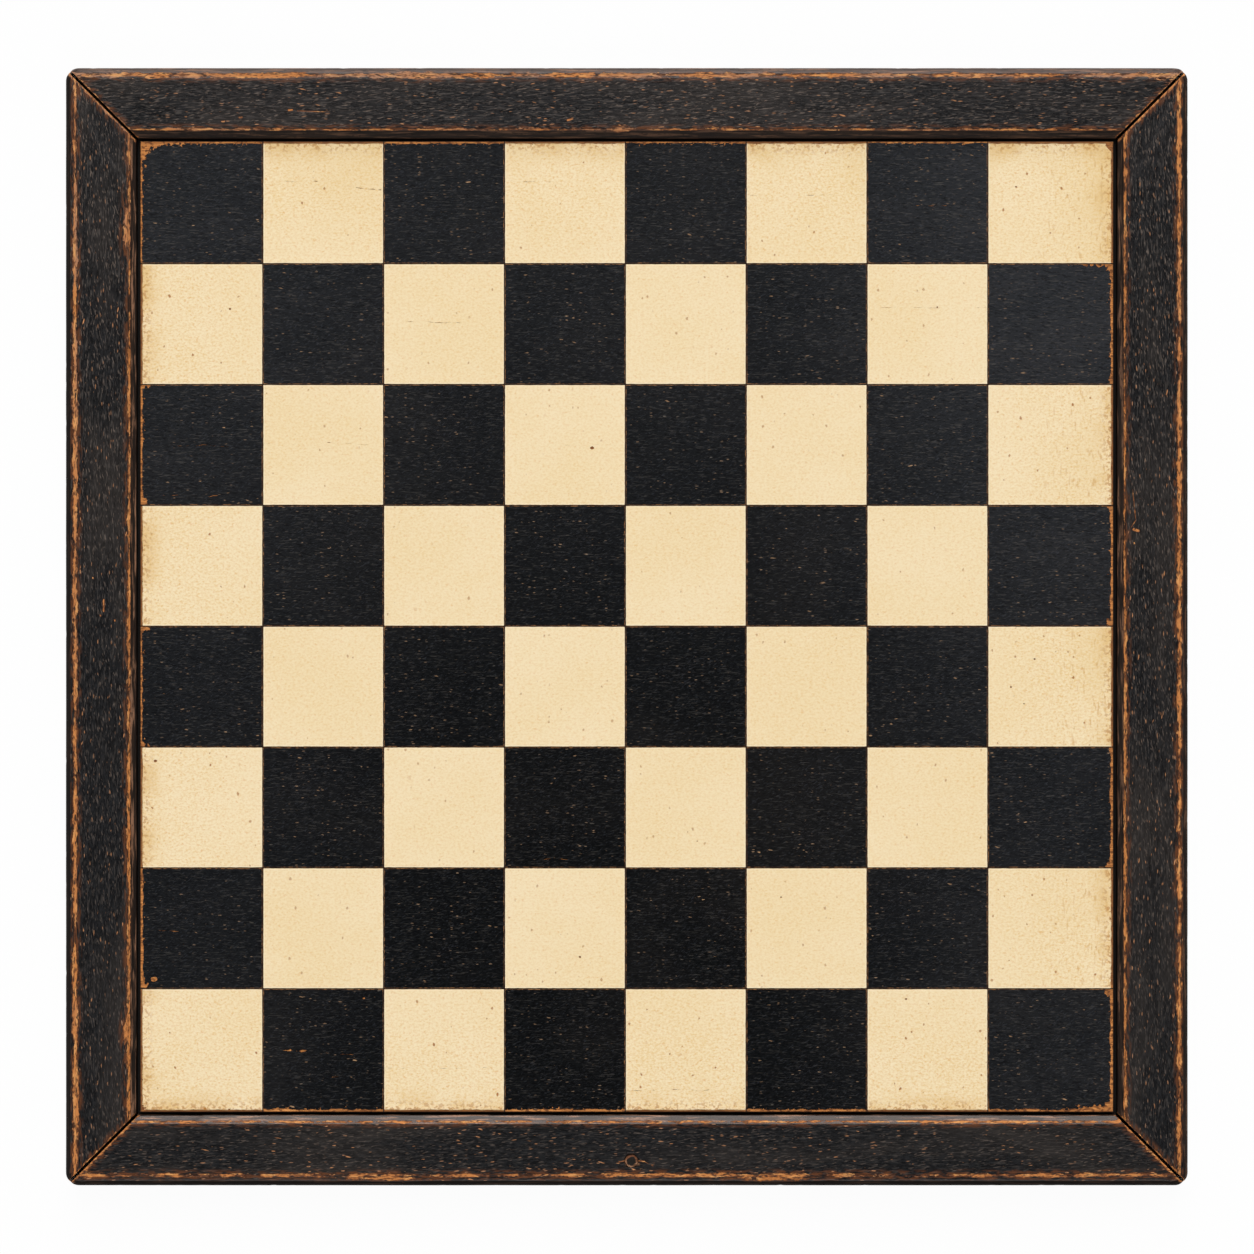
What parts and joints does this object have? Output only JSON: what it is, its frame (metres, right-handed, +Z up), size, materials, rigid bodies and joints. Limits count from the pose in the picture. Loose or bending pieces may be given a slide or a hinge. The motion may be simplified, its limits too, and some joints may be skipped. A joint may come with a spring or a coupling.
{
  "type": "chessboard",
  "caption": "Framed wooden chessboard: a painted checkered panel with scribed lines, floating in the grooves of a mitred, black-painted frame with a bevelled inner edge.",
  "frame": {"origin": "middle of the underside, level with the rails' lower faces", "axes": "+Z up out of the playing face, +X to the right and +Y to the far side, with the bottom rail's plug on the near side and a dark square in the near right corner"},
  "size_m": [0.4642, 0.4624, 0.019],
  "materials": {
    "rail_paint": "thin black oil paint on brown wood, satin, worn through to the wood along the arrises",
    "spline_wood": "bare, plain hardwood",
    "nail_iron": "dull, rust-browned",
    "plug_paint": "black paint over an end-grain plug, worn to the wood round its rim",
    "panel_wood": "bare, aged orange-brown wood, planed",
    "dark_paint": "black oil paint in thin coats, satin, finely scratched along the grain",
    "light_paint": "cream oil paint in thin coats, satin, with small pits and specks"
  },
  "bodies": {
    "root": {"rail_top": "rail_paint", "rail_bottom": "rail_paint", "rail_left": "rail_paint", "rail_right": "rail_paint", "spline_top_left": "spline_wood", "spline_top_right": "spline_wood", "spline_bottom_left": "spline_wood", "spline_bottom_right": "spline_wood", "corner_nails": "nail_iron", "hole_plug": "plug_paint", "panel_board_top": "panel_wood", "panel_board_middle": "panel_wood", "panel_board_bottom": "panel_wood", "dark_squares": "dark_paint", "light_squares": "light_paint"}
  },
  "joints": []
}
